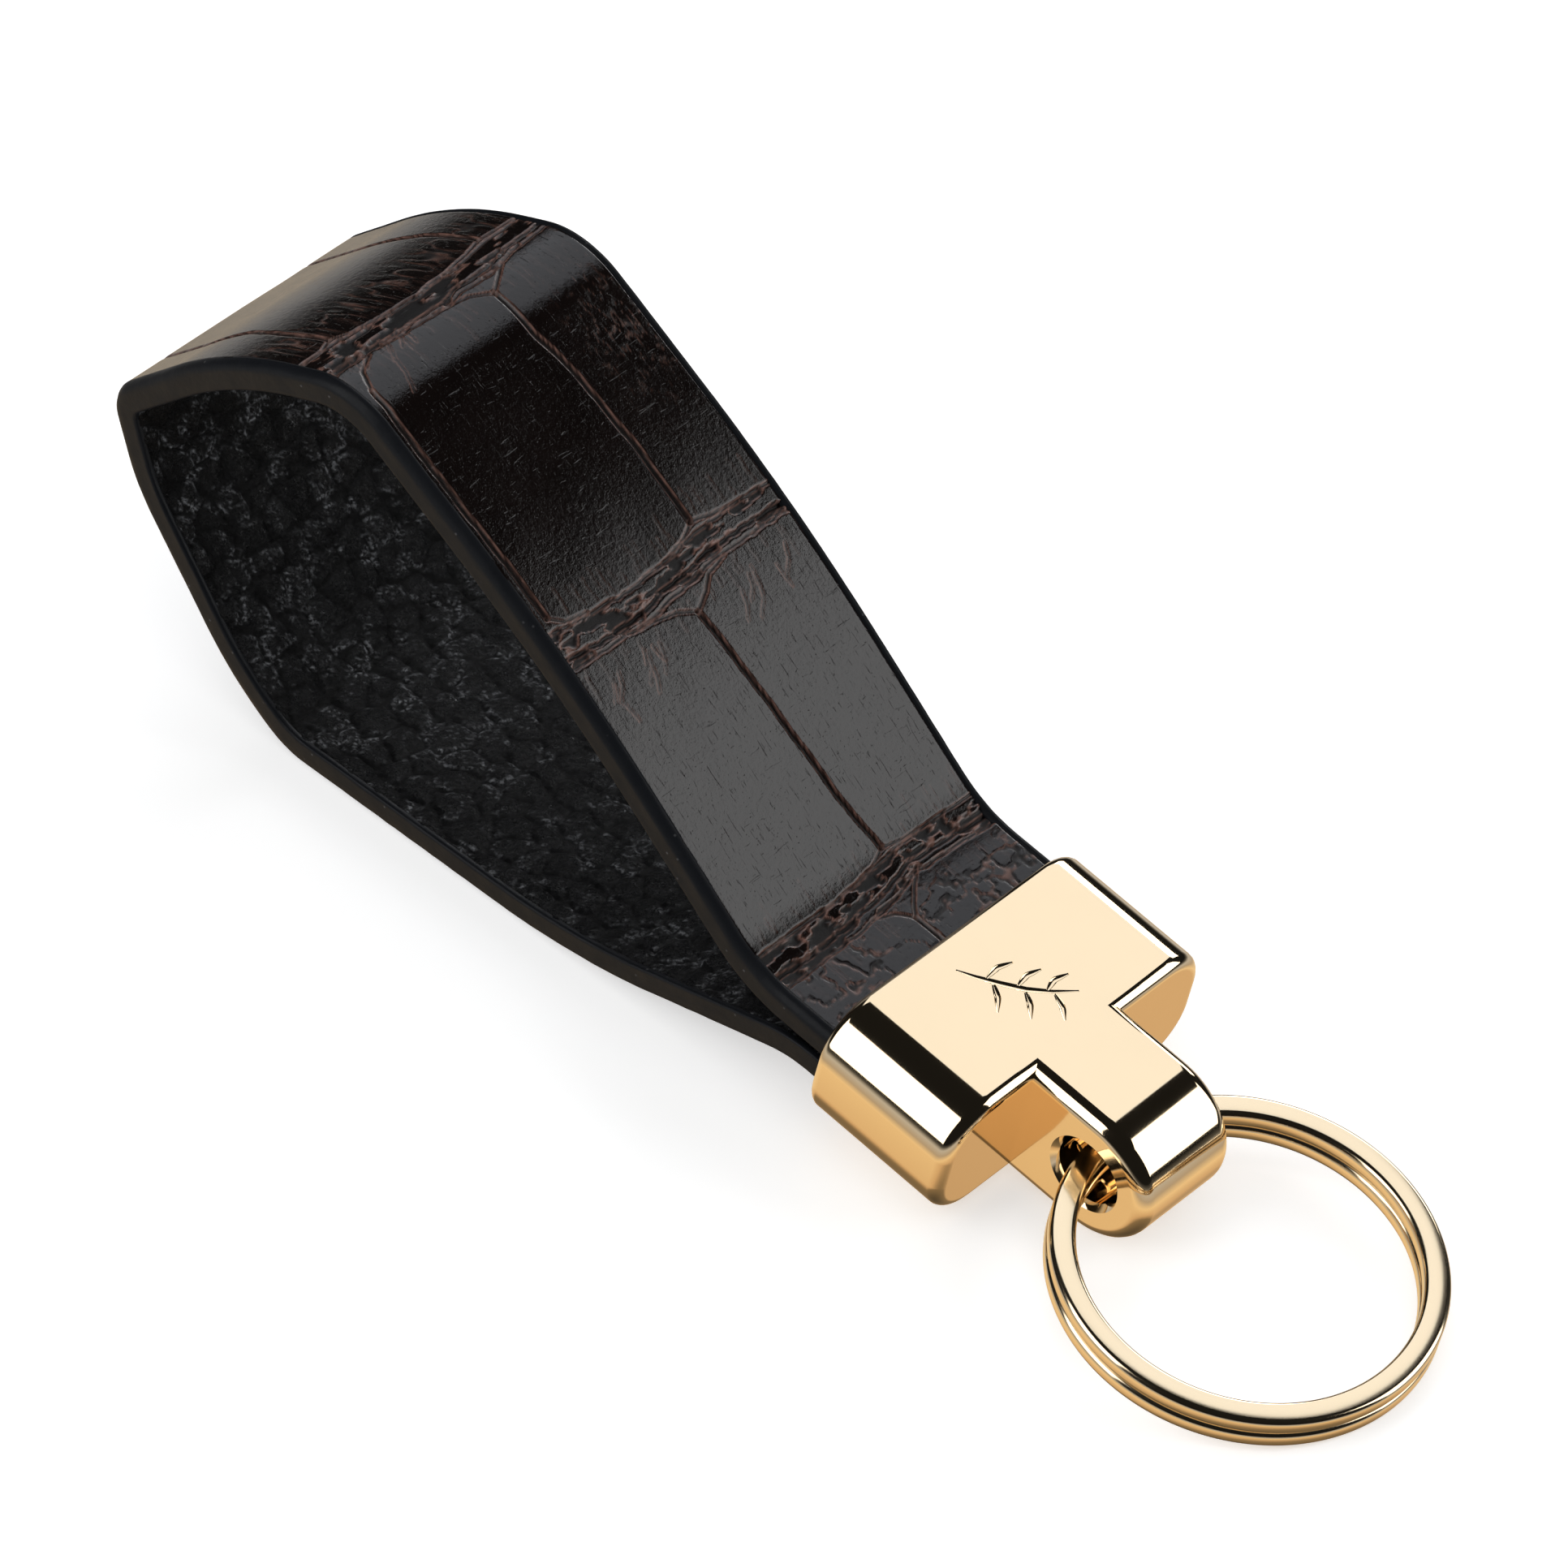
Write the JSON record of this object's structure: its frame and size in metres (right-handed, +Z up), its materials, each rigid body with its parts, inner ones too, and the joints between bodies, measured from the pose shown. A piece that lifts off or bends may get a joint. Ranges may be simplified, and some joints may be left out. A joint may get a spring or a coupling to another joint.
{
  "type": "wristlet keychain",
  "caption": "Gold T-shaped clamp holding a closed loop of crocodile-embossed brown leather, with a split ring swinging in its cross hole.",
  "frame": {"origin": "middle of the strap's flat stretch, on the surface that the keychain lies on", "axes": "+X from the loop's folded tip towards the split ring, +Y across the strap, +Z up"},
  "size_m": [0.1226, 0.031, 0.0404],
  "materials": {
    "gold_plate": "polished light gold plate",
    "ring_gold": "gold-plated spring steel",
    "embossed_leather": "glossy crocodile-embossed calf leather",
    "lining_leather": "pebbled black leather",
    "core_board": "bonded leather board",
    "edge_paint": "satin edge paint"
  },
  "bodies": {
    "strap_and_clamp": {"clamp": "gold_plate", "clamp_screws": "gold_plate", "strap_outer": "embossed_leather", "strap_core": "core_board", "strap_lining": "lining_leather", "edge_paint_left": "edge_paint", "edge_paint_right": "edge_paint"},
    "ring": {"split_ring": "ring_gold"}
  },
  "joints": [
    {"name": "ring_swing", "type": "hinge", "parent": "strap_and_clamp", "child": "ring", "pos_m": [0.06267, 0, 0.0059], "axis": [0, 1, 0], "range_deg": [-125, 116]}
  ]
}
